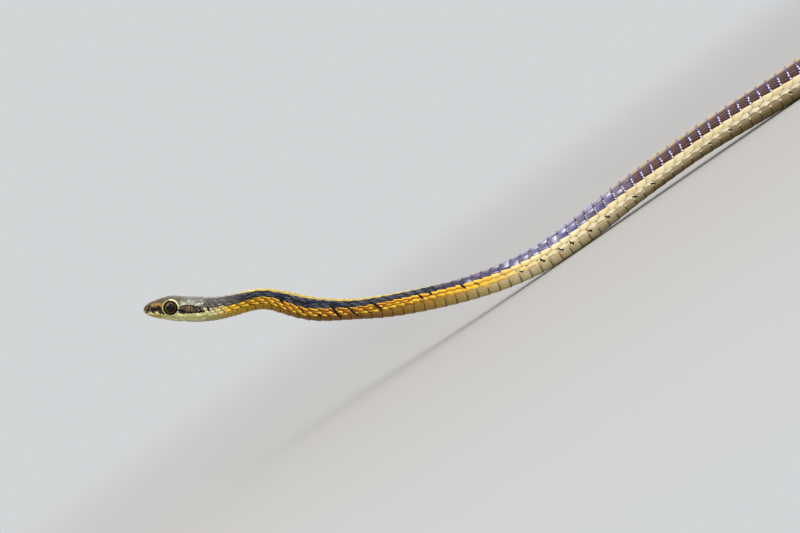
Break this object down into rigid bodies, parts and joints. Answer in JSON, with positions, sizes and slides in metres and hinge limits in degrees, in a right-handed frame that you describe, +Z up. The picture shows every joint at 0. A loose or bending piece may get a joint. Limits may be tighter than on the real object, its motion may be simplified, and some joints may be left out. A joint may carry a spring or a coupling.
{
  "type": "bronzeback tree snake",
  "caption": "Life-size still model of a slender tree snake: raised forebody and head, trunk and thin tail lying on the floor in loose bends.",
  "frame": {"origin": "centre of the floor that the snake covers, on the floor", "axes": "+X from head to tail along the body, +Y to the animal's right, +Z up"},
  "size_m": [0.6341, 0.1221, 0.0677],
  "materials": {
    "head_shields": "smooth horny head shields, satin, olive brown",
    "lip_shields": "smooth horny lip and chin shields, satin, cream",
    "eye": "wet gloss, dark brown iris with a round black pupil",
    "neck_scales": "smooth satin scales, orange gold flank under a blue black band",
    "body_scales": "smooth satin scales, bronze back, dark brown band, cream flank",
    "tail_scales": "smooth satin scales, bronze with a faint dark band"
  },
  "bodies": {
    "root": {"head": "head_shields", "jaw": "lip_shields", "eye_left": "eye", "eye_right": "eye", "neck": "neck_scales", "forebody": "neck_scales", "trunk_front": "body_scales", "trunk_middle": "body_scales", "trunk_hind": "body_scales", "trunk_rear": "body_scales", "tail_base": "tail_scales", "tail_middle": "tail_scales", "tail_tip": "tail_scales"}
  },
  "joints": []
}
